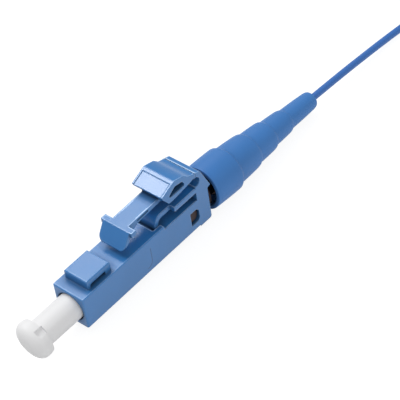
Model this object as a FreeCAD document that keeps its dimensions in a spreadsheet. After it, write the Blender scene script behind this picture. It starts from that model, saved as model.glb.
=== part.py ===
import FreeCAD, Part
import math
import os
import Sketcher

# LC fibre connector: a simplex plug on a 0.9 mm buffered pigtail, with its dust cap on.
# The frame: origin at the centre of the plug's front face, on the ferrule's axis; +X runs back
# along the fibre, +Y across, +Z up towards the latch. Every length is in millimetres.

V = FreeCAD.Vector

SIZES = [
    # plug body
    ("plug_width", 4.5, "side of the square plug nose"),
    ("plug_height", 4.5, "height of the plug nose"),
    ("plug_length", 20.65, "front face to rear wall"),
    ("edge_round", 0.14, "rounding of the body's upper edges"),
    ("keel_round", 0.3, "rounding of its lower long edges"),
    ("front_round", 0.2, "rounding round the front face"),
    ("mouth_radius", 1.8, "round front opening that takes the adapter sleeve"),
    ("mouth_depth", 6.0, "depth of the front opening"),
    ("shoulder_thick", 1.0, "wall that stops the ferrule flange"),
    ("shoulder_bore", 1.05, "hole in that wall, radius"),
    ("chamber_radius", 1.4, "bore behind the shoulder, for flange, spring and backbone"),
    ("deck_drop", 0.44, "how far the rear deck lies below the body's top"),
    ("deck_length", 7.35, "full-width rear deck, up to the rear wall"),
    ("recess_length", 1.2, "narrow part of the deck in front of it"),
    ("recess_half", 1.6, "half width of the narrow part of the deck"),
    # key tab on top of the nose
    ("tab_start", 1.5, "front of the key tab"),
    ("tab_length", 3.65, "length of the key tab"),
    ("tab_width", 3.35, "width of the key tab"),
    ("tab_height", 1.2, "height of the key tab"),
    ("tab_slot_height", 0.5, "slot under the tab's slab"),
    ("tab_slot_length", 2.4, "length of that slot"),
    ("tab_wall", 0.42, "front wall of the tab"),
    ("tab_round", 0.18, "rounding of the tab's top"),
    # tail block, bridge and window
    ("tail_length", 1.85, "tail block, from the latch hinge to the rear wall"),
    ("hinge_height", 5.48, "height of the living hinge above the axis"),
    ("hinge_round", 0.32, "half thickness of the living hinge"),
    ("hinge_gap", 0.03, "clearance round the hinge's knuckle"),
    ("apex_back", 1.1, "from the hinge back to the block's apex"),
    ("apex_height", 5.43, "height of the apex"),
    ("lip_back", 0.5, "how far the block's lip overhangs the rear wall"),
    ("lip_height", 2.42, "height of the lip's edge"),
    ("heel_round", 0.3, "rounding of the body's lower rear edge"),
    ("slot_end_radius", 0.68, "rounded end of the slot under the trigger"),
    ("slot_end_back", 0.15, "from the hinge back to that round end's centre"),
    ("slot_end_height", 4.4, "height of that rounded end's centre"),
    ("beam_length", 3.6, "wide beam, from its free edge to the tail block"),
    ("beam_half", 2.25, "half width of the beam"),
    ("beam_bottom", 2.97, "underside of the beam"),
    ("beam_thick", 0.6, "thickness of beam and bridge"),
    ("bridge_length", 6.3, "bridge and beam together"),
    ("bridge_half", 1.55, "half width of the bridge"),
    ("bridge_bend", 1.25, "outer bend radius of the bridge"),
    ("window_back", 3.25, "from the side window's front edge to the rear wall"),
    ("window_length", 1.4, "length of the side window"),
    ("window_bottom", -1.22, "lower edge of the side window"),
    ("window_height", 1.9, "height of the side window"),
    ("window_round", 0.6, "rear corners of the side window"),
    # latch lever
    ("lever_half", 2.25, "half width of the trigger"),
    ("lever_round", 0.07, "rounding of the trigger's outer edges"),
    ("trigger_length", 5.1, "trigger, from the pad's front edge to the hinge"),
    ("pad_front_height", 6.2, "height of that edge"),
    ("pad_length", 2.1, "thumb pad, measured level"),
    ("pad_rise", 0.9, "how far the pad rises to its rear edge"),
    ("pad_inset", 0.05, "depth of the recessed thumb pad"),
    ("pad_border", 0.26, "border beside the recessed thumb pad"),
    ("pad_shelf", 0.38, "border behind it"),
    ("brow_length", 0.12, "brow between the pad and the slope behind it"),
    ("brow_rise", 0.02, "how far the brow rises"),
    ("crest_length", 1.55, "slope behind the pad"),
    ("crest_drop", 0.38, "how far it falls"),
    ("saddle_length", 0.72, "steep step behind that slope"),
    ("saddle_height", 6.03, "height at the foot of the step"),
    ("chin_back", 0.1, "how far the trigger's chin leans back under the pad's front edge"),
    ("chin_drop", 0.34, "how far the chin lies below that edge"),
    ("tip_length", 0.9, "from the pad's front edge to the trigger's lowest point"),
    ("tip_flat", 0.6, "level stretch behind that point"),
    ("tip_sag", 0.04, "how far that stretch falls"),
    ("hinge_web", 0.16, "extra thickness of the trigger in front of the hinge"),
    ("tip_drop", 1.48, "how far that point lies below the pad's front edge"),
    ("arm_half", 1.18, "half width of the latch arm"),
    ("arm_drop", 1.02, "from the pad's front edge down to the arm's top at its front"),
    ("arm_rise", 0.1, "how far the arm's top rises to the trigger"),
    ("arm_thick", 0.72, "thickness of the arm"),
    ("arm_flare", 0.25, "inner corners between arm and trigger"),
    ("arm_lap", 0.05, "how far the arm's ends lap over what they meet"),
    ("wing_lap", 0.2, "how far the arm reaches into the wings"),
    ("wing_front", 8.45, "front edge of the latch wings"),
    ("wing_length", 0.75, "length of the latch wings"),
    ("wing_half", 2.25, "half width over the wings"),
    ("wing_thick", 0.64, "thickness of the wings"),
    ("nose_half", 1.92, "half width of the ramp nose"),
    ("nose_drop", 2.02, "height of the ramp nose"),
    ("nose_lean", 1.3, "how far the nose leans forward over that height"),
    ("nose_thick", 0.5, "thickness of the ramp nose"),
    ("nose_round", 0.7, "lower corners of the ramp nose"),
    ("pocket_wall", 0.62, "wall between the trigger's side pockets and its underside"),
    ("pocket_front", 1.0, "front corner of the side pockets, behind the pad's front edge"),
    ("pocket_front_lift", 0.34, "height of that corner above their floor"),
    ("pocket_toe", 1.25, "second corner, behind the pad's front edge"),
    ("pocket_toe_lift", 0.04, "height of that corner above their floor"),
    ("pocket_sole", 0.65, "rear end of their floor, in front of the crest's foot"),
    ("pocket_heel", 0.05, "rearmost corner, behind the crest's foot"),
    ("pocket_heel_lift", 0.1, "height of that corner above their floor"),
    ("pocket_peak", 0.35, "upper rear corner, in front of the crest's foot"),
    ("pocket_peak_drop", 0.55, "wall between that corner and the crest"),
    ("pocket_roof", 0.72, "wall between the pockets and the pad's rear edge"),
    ("core_web", 1.2, "web left between the trigger's side pockets"),
    ("web_margin", 0.2, "how far the web reaches into the walls round the pockets"),
    ("web_skin", 0.35, "wall left outside the web at its rear"),
    ("web_corner", 0.3, "how far its rear corners stand in from the pockets' own"),
    ("core_round", 0.22, "rounded corners of those pockets"),
    ("flank_inset", 0.1, "depth of the panels in the arm's sides"),
    ("flank_front", 2.1, "front end of those panels, behind the wings' front edge"),
    ("flank_rear", 1.35, "rear end of those panels, in front of the pad's front edge"),
    ("flank_core_front", 1.5, "front end of the arm's core between the panels"),
    ("flank_core_rear", 0.8, "rear end of that core, in front of the pad's front edge"),
    ("gusset_drop", 1.5, "how far the gusset behind the nose reaches down"),
    ("gusset_length", 1.9, "and back along the arm"),
    ("gusset_front", 0.3, "how far its lower edge stands in front of the wings' front edge"),
    ("gusset_back", 0.35, "and behind it"),
    # ferrule and what holds it
    ("ferrule_radius", 0.6245, "1.249 mm ceramic ferrule"),
    ("ferrule_length", 6.5, "length of the ferrule"),
    ("ferrule_reach", 1.7, "how far its tip stands out of the front face"),
    ("ferrule_chamfer", 0.35, "length of the tip's cone"),
    ("glass_radius", 0.0625, "bare fibre"),
    ("flange_nose_radius", 0.98, "nose of the flange"),
    ("flange_nose_front", 3.4, "front of the flange's nose"),
    ("collar_thick", 1.02, "hexagonal collar of the flange"),
    ("collar_radius", 1.35, "corner radius of the hexagon"),
    ("seat_gap", 0.02, "gap between collar and shoulder"),
    ("flange_tail_radius", 0.9, "tail of the flange"),
    ("flange_tail_end", 10.3, "rear end of the flange"),
    ("buffer_radius", 0.45, "0.9 mm buffered fibre"),
    ("buffer_gap", 0.02, "clearance round the buffer in the flange"),
    ("flange_step", 8.2, "where the flange's bore narrows for the bare fibre"),
    ("buffer_front", 9.2, "where the buffer ends inside the flange"),
    ("spring_radius", 1.12, "mean radius of the spring"),
    ("spring_wire", 0.12, "wire radius of the spring"),
    ("spring_pitch", 0.72, "pitch of the spring"),
    # backbone and guide tube
    ("backbone_front", 12.6, "front of the backbone, where the spring seats"),
    ("backbone_radius", 1.36, "body of the backbone"),
    ("backbone_waist", 1.15, "waist between the backbone's lands"),
    ("backbone_bore", 0.62, "bore of the backbone"),
    ("collar_gap", 0.06, "gap between rear wall and backbone collar"),
    ("rear_collar_radius", 1.95, "collar behind the rear wall"),
    ("rear_collar_thick", 0.6, "thickness of that collar"),
    ("barrel_radius", 1.3, "barrel that carries the boot"),
    ("barrel_length", 4.6, "barrel and collar behind the rear wall"),
    ("barb_height", 0.16, "height of the barbs on the barrel"),
    ("snap_reach", 2.0, "how far the snap tabs stand out in the windows"),
    ("snap_gap", 0.12, "clearance round a snap tab in its window"),
    ("tube_outer", 0.6, "guide tube, outer radius"),
    ("tube_inner", 0.49, "guide tube, inner radius"),
    # boot
    ("boot_gap", 1.1, "from the rear wall to the rim of the boot"),
    ("boot_droop", 4.3, "how far the boot hangs below the axis, in degrees"),
    ("boot_rim", 2.8, "radius of the rim"),
    ("boot_mouth", 2.32, "radius inside the rim"),
    ("boot_mouth_depth", 1.4, "depth of the hollow rim"),
    ("mouth_taper", 0.3, "taper at the bottom of that hollow"),
    ("boot_grip", 1.75, "bore over the backbone's barrel"),
    ("boot_grip_end", 3.9, "depth of that bore"),
    ("boot_throat", 1.0, "start of the tapered bore behind it"),
    ("boot_exit_bore", 0.52, "bore at the boot's end"),
    ("boot_taper_end", 9.5, "where the tapered bore ends"),
    ("rim_chamfer", 0.12, "chamfer round the rim"),
    ("stage_a_end", 2.84, "first stage of the boot: radius at its rear"),
    ("stage_a_reach", 4.4, "where it ends behind the rim"),
    ("stage_b_start", 2.52, "second stage, radius at its front"),
    ("stage_b_end", 2.29, "radius at its rear"),
    ("stage_b_reach", 8.35, "where it ends behind the rim"),
    ("stage_c_start", 2.08, "third stage"),
    ("stage_c_end", 1.91, "radius at its rear"),
    ("stage_c_reach", 11.75, "where it ends behind the rim"),
    ("stage_d_start", 1.7, "fourth stage"),
    ("stage_d_end", 1.51, "radius at its rear"),
    ("stage_d_reach", 15.1, "where it ends behind the rim"),
    ("stage_e_start", 1.34, "last stage"),
    ("stage_e_end", 1.12, "radius at its rear"),
    ("stage_e_reach", 20.2, "length of the boot"),
    ("boot_step_round", 0.16, "rounding of the steps"),
    ("boot_end_round", 0.4, "rounding of the boot's end"),
    # dust cap
    ("cap_radius", 1.67, "skirt of the dust cap"),
    ("cap_inside", 3.0, "how far the skirt goes into the mouth"),
    ("cap_neck", 4.95, "front face to the rear of the cap's head"),
    ("cap_head_length", 2.0, "length of the head"),
    ("cap_ear", 2.34, "half length of the oblong head"),
    ("cap_side", 1.7, "half width of the oblong head"),
    ("cap_bore", 0.66, "bore over the ferrule"),
    ("cap_tip_room", 0.6, "room in front of the ferrule's tip"),
    ("cap_turn", 34.0, "how far the cap is turned on its axis, in degrees"),
    ("cap_notch", 0.3, "depth of the notches in the head's sides"),
    ("cap_notch_length", 1.15, "length of those notches"),
    ("cap_notch_width", 1.0, "width of those notches"),
    # pigtail, hank and tie
    ("hank_front", 63.74, "front end of the hank"),
    ("hank_side", 2.62, "middle of the hank across the axis"),
    ("hank_run", 13.5, "straight runs of the hank"),
    ("hank_fold", 2.7, "innermost bend radius of the hank"),
    ("hank_layers", 3, "turns side by side"),
    ("hank_rows", 7, "turns on top of each other"),
    ("tie_thick", 0.4, "thickness of the tie"),
    ("tie_width", 4.0, "width of the tie"),
    ("tie_gap", 0.05, "clearance between tie and hank"),
]

# Route of the free fibre from the boot's exit on; the last point lies inside the hank.
PIGTAIL_ROUTE = [
    (47.0, 0.0, -1.83),
    (52.1, -0.08, -2.18),
    (57.3, -0.25, -2.5),
    (62.5, -0.75, -2.66),
    (67.6, -1.75, -2.26),
]

doc = FreeCAD.newDocument("lc_connector")
sheet = doc.addObject("Spreadsheet::Sheet", "Sizes")
for row, (alias, value, note) in enumerate(SIZES, start=1):
    sheet.set("A%d" % row, note)
    sheet.set("B%d" % row, str(value))
    sheet.setAlias("B%d" % row, alias)

# Places worked out from the table: the rear end's details are set from the rear wall.
DERIVED = [
    ("deck_start", "plug_length - deck_length"),
    ("recess_start", "plug_length - deck_length - recess_length"),
    ("block_front", "plug_length - tail_length"),
    ("beam_front", "plug_length - tail_length - beam_length"),
    ("bridge_foot", "plug_length - tail_length - bridge_length"),
    ("window_front", "plug_length - window_back"),
    ("pad_front", "plug_length - tail_length - trigger_length"),
    ("pad_back", "plug_length - tail_length - trigger_length + pad_length"),
    ("pad_back_height", "pad_front_height + pad_rise"),
    ("crest_back", "plug_length - tail_length - trigger_length + pad_length + crest_length"),
    ("crest_height", "pad_front_height + pad_rise - crest_drop"),
    ("tip_back", "plug_length - tail_length - trigger_length + tip_length"),
    ("tip_height", "pad_front_height - tip_drop"),
    ("arm_top", "pad_front_height - arm_drop"),
    ("barrel_end", "plug_length + barrel_length"),
    ("boot_front", "plug_length + boot_gap"),
]
for row, (alias, formula) in enumerate(DERIVED, start=len(SIZES) + 2):
    sheet.set("A%d" % row, "worked out")
    sheet.set("B%d" % row, "=" + formula)
    sheet.setAlias("B%d" % row, alias)
doc.recompute()


def size(alias):
    """A driving dimension, read from the sheet."""
    return float(getattr(sheet, alias))


# ---------------------------------------------------------------- helpers

def bound(text):
    """An expression with every alias pointed at the sheet."""
    words = []
    word = ""
    for letter in text + " ":
        if letter.isalnum() or letter == "_":
            word += letter
            continue
        if word and word[0].isalpha() and hasattr(sheet, word):
            word = "Sizes." + word
        words.append(word + letter)
        word = ""
    return "".join(words).strip()


def number(text):
    """The value of such an expression."""
    return float(sheet.evalExpression(bound(text)))


def new_body(label):
    made = doc.addObject("PartDesign::Body", label)
    made.Label = label
    return made


def new_sketch(body, name, role, offset=None):
    """A sketch on one of the body's own origin planes, shifted along that plane's normal."""
    sketch = body.newObject("Sketcher::SketchObject", name)
    planes = [item for item in body.Origin.OriginFeatures if item.Role == role]
    sketch.AttachmentSupport = [(planes[0], "")]
    sketch.MapMode = "FlatFace"
    if offset is not None:
        sketch.setExpression("AttachmentOffset.Base.z", bound(offset))
    return sketch


def hold(sketch, kind, *args):
    """Adds a constraint whose last argument is an expression."""
    text = args[-1]
    index = sketch.addConstraint(Sketcher.Constraint(kind, *args[:-1], number(text)))
    sketch.setExpression("Constraints[%d]" % index, bound(text))


def outline(body, name, role, corners, offset=None):
    """A closed outline of straight sides, each corner bound to the sheet."""
    sketch = new_sketch(body, name, role, offset)
    points = [V(number(across), number(up), 0) for across, up in corners]
    count = len(points)
    for index in range(count):
        sketch.addGeometry(Part.LineSegment(points[index], points[(index + 1) % count]))
    for index in range(count):
        sketch.addConstraint(
            Sketcher.Constraint("Coincident", index, 2, (index + 1) % count, 1))
    for index, (across, up) in enumerate(corners):
        hold(sketch, "DistanceX", -1, 1, index, 1, across)
        hold(sketch, "DistanceY", -1, 1, index, 1, up)
    return sketch


def ring(body, name, role, across, up, radius, offset=None):
    """A circle, its centre and radius bound to the sheet."""
    sketch = new_sketch(body, name, role, offset)
    centre = V(number(across), number(up), 0)
    sketch.addGeometry(Part.Circle(centre, V(0, 0, 1), number(radius)))
    hold(sketch, "DistanceX", -1, 1, 0, 3, across)
    hold(sketch, "DistanceY", -1, 1, 0, 3, up)
    hold(sketch, "Radius", 0, radius)
    return sketch


def racetrack(body, name, middle, side, half_run, radius, offset):
    """Two straight runs along X joined by half circles."""
    sketch = new_sketch(body, name, "XY_Plane", offset)
    cx, cy = number(middle), number(side)
    run, bend = number(half_run), number(radius)
    front, rear = V(cx - run, cy, 0), V(cx + run, cy, 0)
    half = math.pi / 2
    sketch.addGeometry(Part.ArcOfCircle(Part.Circle(rear, V(0, 0, 1), bend), -half, half))
    sketch.addGeometry(Part.ArcOfCircle(Part.Circle(front, V(0, 0, 1), bend), half, 3 * half))
    sketch.addGeometry(Part.LineSegment(rear + V(0, bend, 0), front + V(0, bend, 0)))
    sketch.addGeometry(Part.LineSegment(front - V(0, bend, 0), rear - V(0, bend, 0)))
    sketch.addConstraint(Sketcher.Constraint("Tangent", 0, 2, 2, 1))
    sketch.addConstraint(Sketcher.Constraint("Tangent", 2, 2, 1, 1))
    sketch.addConstraint(Sketcher.Constraint("Tangent", 1, 2, 3, 1))
    sketch.addConstraint(Sketcher.Constraint("Tangent", 3, 2, 0, 1))
    sketch.addConstraint(Sketcher.Constraint("Horizontal", 2))
    hold(sketch, "DistanceX", -1, 1, 0, 3, "%s + %s" % (middle, half_run))
    hold(sketch, "DistanceX", -1, 1, 1, 3, "%s - %s" % (middle, half_run))
    hold(sketch, "DistanceY", -1, 1, 1, 3, side)
    hold(sketch, "Radius", 1, radius)
    return sketch


def pad(body, sketch, length, both_ways=True, back=False):
    made = body.newObject("PartDesign::Pad", sketch.Name + "_pad")
    made.Profile = sketch
    made.SideType = "Symmetric" if both_ways else "One side"
    made.Reversed = back
    made.setExpression("Length", bound(length))
    doc.recompute()
    return made


def pocket(body, sketch, length, both_ways=True, back=False):
    """Cuts the sketch out of the body, and fails if nothing is cut."""
    before = body.Shape.Volume
    made = body.newObject("PartDesign::Pocket", sketch.Name + "_pocket")
    made.Profile = sketch
    made.SideType = "Symmetric" if both_ways else "One side"
    made.Reversed = back
    made.setExpression("Length", bound(length))
    doc.recompute()
    if not body.Shape.Volume < before:
        raise RuntimeError("%s cuts nothing" % made.Name)
    return made


def turned(body, sketch, kind="PartDesign::Revolution"):
    """Turns a sketch on the XZ plane about the X axis."""
    made = body.newObject(kind, sketch.Name + "_turned")
    made.Profile = sketch
    made.ReferenceAxis = (sketch, ["H_Axis"])
    made.Angle = 360.0
    doc.recompute()
    return made


def edges_where(body, test):
    """Names of the body's edges whose middle and direction pass a test."""
    names = []
    for index, edge in enumerate(body.Shape.Edges, start=1):
        middle = edge.valueAt((edge.FirstParameter + edge.LastParameter) / 2)
        ends = [vertex.Point for vertex in edge.Vertexes]
        along = ends[-1] - ends[0]
        if along.Length > 1e-9:
            along.normalize()
        if test(middle, along, edge):
            names.append("Edge%d" % index)
    return names


def fillet(body, name, radius, test):
    """Rounds every edge of the body that passes a test."""
    base = body.Tip
    names = edges_where(body, test)
    if not names:
        raise RuntimeError("%s finds no edge" % name)
    made = body.newObject("PartDesign::Fillet", name)
    made.Base = (base, names)
    made.setExpression("Radius", bound(radius))
    doc.recompute()
    if not made.Shape.isValid():
        raise RuntimeError("%s fails" % name)
    return made


def near(value, target, reach=1e-4):
    return abs(value - target) < reach


def feature(label, shape):
    made = doc.addObject("Part::Feature", label)
    made.Label = label
    made.Shape = shape
    return made


# ---------------------------------------------------------------- plug body

def make_housing():
    """The one-piece plug body: square nose, deck, bridge, beam and tail block."""
    body = new_body("housing")
    bottom = "-plug_height / 2"
    top = "plug_height / 2"
    deck = "plug_height / 2 - deck_drop"

    bar = outline(body, "bar", "XZ_Plane", [
        ("0", bottom), ("plug_length", bottom), ("plug_length", deck),
        ("deck_start", deck), ("deck_start", top), ("0", top)])
    pad(body, bar, "plug_width")
    fillet(body, "bar_rounds", "edge_round", lambda mid, along, edge:
           abs(along.x) > 0.99 and near(abs(mid.y), size("plug_width") / 2)
           and near(mid.z, size("plug_height") / 2))
    fillet(body, "keel_rounds", "keel_round", lambda mid, along, edge:
           abs(along.x) > 0.99 and near(abs(mid.y), size("plug_width") / 2)
           and near(mid.z, -size("plug_height") / 2))
    fillet(body, "front_rounds", "front_round", lambda mid, along, edge:
           near(mid.x, 0) and max(abs(mid.y), abs(mid.z)) > size("plug_height") / 2 - 0.2)

    recess = outline(body, "recess", "XY_Plane", [
        ("recess_start", "-recess_half"), ("deck_start + 1", "-recess_half"),
        ("deck_start + 1", "recess_half"), ("recess_start", "recess_half")], offset=top)
    pocket(body, recess, "deck_drop", both_ways=False)

    tab_top = "plug_height / 2 + tab_height"
    tab = outline(body, "key_tab", "XZ_Plane", [
        ("tab_start", "plug_height / 2 - 0.2"), ("tab_start + tab_length", "plug_height / 2 - 0.2"),
        ("tab_start + tab_length", tab_top), ("tab_start", tab_top)])
    pad(body, tab, "tab_width")
    slot_top = "plug_height / 2 + tab_slot_height"
    tab_slot = outline(body, "tab_slot", "XZ_Plane", [
        ("tab_start + tab_wall", top), ("tab_start + tab_wall + tab_slot_length", top),
        ("tab_start + tab_wall + tab_slot_length", slot_top), ("tab_start + tab_wall", slot_top)])
    pocket(body, tab_slot, "tab_width + 1")
    fillet(body, "tab_slot_round", "tab_slot_height * 0.7", lambda mid, along, edge:
           abs(along.y) > 0.99 and near(mid.z, number(slot_top))
           and near(mid.x, number("tab_start + tab_wall")))
    fillet(body, "tab_rounds", "tab_round", lambda mid, along, edge:
           near(mid.z, number(tab_top)))

    crest = "block_front + apex_back"
    block = outline(body, "tail_block", "XZ_Plane", [
        ("block_front", bottom), ("plug_length", bottom), ("plug_length", top),
        ("plug_length + lip_back", "lip_height"), (crest, "apex_height"),
        ("block_front", "hinge_height + hinge_round")])
    pad(body, block, "plug_width")
    fillet(body, "heel", "heel_round", lambda mid, along, edge:
           abs(along.y) > 0.9 and near(mid.x, size("plug_length"))
           and near(mid.z, -size("plug_height") / 2))
    fillet(body, "apex_round", "edge_round * 3", lambda mid, along, edge:
           abs(along.y) > 0.99 and near(mid.z, size("apex_height"))
           and near(mid.x, number(crest)))

    beam_top = "beam_bottom + beam_thick"
    beam = outline(body, "beam", "XZ_Plane", [
        ("beam_front", "beam_bottom"), ("block_front + 0.1", "beam_bottom"),
        ("block_front + 0.1", beam_top), ("beam_front", beam_top)])
    pad(body, beam, "2 * beam_half")
    slot_end = ring(body, "slot_end", "XZ_Plane", "block_front + slot_end_back", "slot_end_height",
                    "slot_end_radius")
    pocket(body, slot_end, "plug_width + 1")
    seat = ring(body, "hinge_seat", "XZ_Plane", "block_front", "hinge_height",
                "hinge_round + hinge_gap")
    pocket(body, seat, "plug_width + 1")

    inner = "bridge_foot + beam_thick"
    bridge = outline(body, "bridge", "XZ_Plane", [
        ("bridge_foot", "plug_height / 2 - deck_drop - 0.1"),
        (inner, "plug_height / 2 - deck_drop - 0.1"), (inner, "beam_bottom"),
        ("beam_front + 0.2", "beam_bottom"), ("beam_front + 0.2", beam_top),
        ("bridge_foot", beam_top)])
    pad(body, bridge, "2 * bridge_half")
    fillet(body, "bridge_outer", "bridge_bend", lambda mid, along, edge:
           abs(along.y) > 0.99 and near(mid.x, size("bridge_foot"))
           and near(mid.z, number(beam_top)))
    fillet(body, "bridge_inner", "bridge_bend - beam_thick", lambda mid, along, edge:
           abs(along.y) > 0.99 and near(mid.x, number(inner))
           and near(mid.z, size("beam_bottom")))

    bores = outline(body, "bores", "XZ_Plane", [
        ("-0.5", "0"), ("-0.5", "mouth_radius"), ("mouth_depth", "mouth_radius"),
        ("mouth_depth", "shoulder_bore"), ("mouth_depth + shoulder_thick", "shoulder_bore"),
        ("mouth_depth + shoulder_thick", "chamber_radius"),
        ("plug_length + 1", "chamber_radius"), ("plug_length + 1", "0")])
    turned(body, bores, "PartDesign::Groove")

    window_rear = "window_front + window_length"
    window_top = "window_bottom + window_height"
    window = outline(body, "window", "XZ_Plane", [
        ("window_front", "window_bottom"), (window_rear, "window_bottom"),
        (window_rear, window_top), ("window_front", window_top)])
    pocket(body, window, "plug_width + 1")
    fillet(body, "window_rounds", "window_round", lambda mid, along, edge:
           abs(along.y) > 0.99 and near(mid.x, number(window_rear))
           and (near(mid.z, size("window_bottom")) or near(mid.z, number(window_top))))
    fillet(body, "mouth_round", "edge_round", lambda mid, along, edge:
           near(mid.x, 0) and near(math.hypot(mid.y, mid.z), size("mouth_radius"), 1e-3))
    return body


# ---------------------------------------------------------------- latch lever

# Outline of the pocket in each side of the trigger.
POCKET_CORNERS = [
    ("pad_front + pocket_front", "tip_height + pocket_wall + pocket_front_lift"),
    ("pad_front + pocket_toe", "tip_height + pocket_wall + pocket_toe_lift"),
    ("crest_back - pocket_sole", "tip_height + pocket_wall"),
    ("crest_back + pocket_heel", "tip_height + pocket_wall + pocket_heel_lift"),
    ("crest_back - pocket_peak", "crest_height - pocket_peak_drop"),
    ("pad_back", "pad_back_height - pocket_roof"),
]


def make_latch_lever():
    """Trigger, arm, wings and ramp nose, moulded as one lever on the living hinge."""
    body = new_body("latch_lever")
    arm_bottom = "arm_top - arm_thick"

    trigger = outline(body, "trigger", "XZ_Plane", [
        ("pad_front", "pad_front_height"), ("pad_back", "pad_back_height"),
        ("pad_back + brow_length", "pad_back_height + brow_rise"), ("crest_back", "crest_height"),
        ("crest_back + saddle_length", "saddle_height"),
        ("block_front", "hinge_height + hinge_round"),
        ("block_front", "hinge_height - hinge_round"),
        ("crest_back + saddle_length", "hinge_height - hinge_round - hinge_web"),
        ("tip_back + tip_flat", "tip_height - tip_sag"), ("tip_back", "tip_height"),
        ("pad_front + chin_back", "pad_front_height - chin_drop")])
    pad(body, trigger, "2 * lever_half")
    fillet(body, "trigger_rounds", "lever_round", lambda mid, along, edge:
           near(abs(mid.y), size("lever_half")) and mid.x < size("block_front") - 0.1)
    knuckle = ring(body, "knuckle", "XZ_Plane", "block_front", "hinge_height", "hinge_round")
    pad(body, knuckle, "2 * lever_half")

    rise = "pad_rise / pad_length"
    thumb = outline(body, "thumb_pad", "XZ_Plane", [
        ("pad_front - 0.1", "pad_front_height - pad_inset - 0.1 * %s" % rise),
        ("pad_back - pad_shelf", "pad_back_height - pad_inset - pad_shelf * %s" % rise),
        ("pad_back - pad_shelf", "pad_back_height + 0.3"),
        ("pad_front - 0.1", "pad_front_height + 0.3")])
    pocket(body, thumb, "2 * lever_half - 2 * pad_border")

    core = outline(body, "core", "XZ_Plane", POCKET_CORNERS)
    pocket(body, core, "2 * lever_half + 1")
    fillet(body, "core_rounds", "core_round", lambda mid, along, edge:
           abs(along.y) > 0.99 and any(
               near(mid.x, number(across)) and near(mid.z, number(up))
               for across, up in POCKET_CORNERS))
    web = outline(body, "core_web", "XZ_Plane", [
        ("pad_front + pocket_front - web_margin",
         "tip_height + pocket_wall + 2 * web_margin"),
        ("pad_front + pocket_front + web_margin", "tip_height + web_margin"),
        ("crest_back + web_margin", "tip_height + web_skin"),
        ("crest_back + web_margin", "tip_height + pocket_wall + web_corner"),
        ("crest_back - web_corner", "crest_height - web_skin"),
        ("pad_back", "pad_back_height - 2 * web_margin")])
    pad(body, web, "core_web")

    arm = outline(body, "arm", "XZ_Plane", [
        ("wing_front + wing_lap", arm_bottom), ("tip_back", "tip_height + arm_lap"),
        ("tip_back", "arm_top + arm_rise"), ("wing_front + wing_lap", "arm_top")])
    pad(body, arm, "2 * arm_half")
    flank = outline(body, "flank", "XZ_Plane", [
        ("wing_front + flank_front", "arm_top - arm_thick / 2 - 0.02"),
        ("pad_front - flank_rear", "arm_top - arm_thick / 2 + arm_rise * 0.5"),
        ("pad_front - flank_rear", "arm_top - 0.12 + arm_rise * 0.62"),
        ("wing_front + flank_front", "arm_top - 0.1 + arm_rise * 0.36")])
    pocket(body, flank, "2 * arm_half + 1")
    flank_core = outline(body, "flank_core", "XZ_Plane", [
        ("wing_front + flank_core_front", arm_bottom + " + 0.12"),
        ("pad_front - flank_core_rear", arm_bottom + " + 0.3"),
        ("pad_front - flank_core_rear", "arm_top - 0.06 + arm_rise * 0.6"),
        ("wing_front + flank_core_front", "arm_top - 0.06 + arm_rise * 0.2")])
    pad(body, flank_core, "2 * arm_half - 2 * flank_inset")

    wings = outline(body, "wings", "XZ_Plane", [
        ("wing_front", "arm_top - wing_thick"),
        ("wing_front + wing_length", "arm_top - wing_thick"),
        ("wing_front + wing_length", "arm_top"), ("wing_front", "arm_top")])
    pad(body, wings, "2 * wing_half")
    lean = "nose_lean / nose_drop"
    nose = outline(body, "nose", "XZ_Plane", [
        ("wing_front", "arm_top"), ("wing_front - nose_lean", "arm_top - nose_drop"),
        ("wing_front - nose_lean + nose_thick", "arm_top - nose_drop"),
        ("wing_front + nose_thick", "arm_top")])
    pad(body, nose, "2 * nose_half")
    fillet(body, "nose_rounds", "nose_round", lambda mid, along, edge:
           abs(along.x) > 0.99 and near(abs(mid.y), size("nose_half"))
           and near(mid.z, number("arm_top - nose_drop")))
    gusset = outline(body, "gusset", "XZ_Plane", [
        ("wing_front - gusset_front", "arm_top - gusset_drop"),
        ("wing_front + gusset_back", "arm_top - gusset_drop"),
        ("wing_front + gusset_length", "arm_top - arm_thick + arm_lap"),
        ("wing_front + 0.1", "arm_top - 0.3")])
    pad(body, gusset, "2 * arm_half")
    fillet(body, "flare", "arm_flare", lambda mid, along, edge:
           near(abs(mid.y), size("arm_half")) and abs(along.y) < 0.01
           and size("pad_front") < mid.x < size("tip_back")
           and size("tip_height") < mid.z < size("pad_front_height")
           and abs(along.z) > 0.5)
    return body


# ---------------------------------------------------------------- ferrule and flange

def make_ferrule():
    """Ceramic ferrule with a coned tip and the fibre's fine bore."""
    body = new_body("ferrule")
    tip = "-ferrule_reach"
    rear = "ferrule_length - ferrule_reach"
    profile = outline(body, "ferrule_profile", "XZ_Plane", [
        (tip, "glass_radius + 0.002"), (tip, "ferrule_radius * 0.72"),
        ("ferrule_chamfer - ferrule_reach", "ferrule_radius"), (rear, "ferrule_radius"),
        (rear, "0.2"), (rear + " - 0.4", "glass_radius + 0.002")])
    turned(body, profile)
    return body


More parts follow.
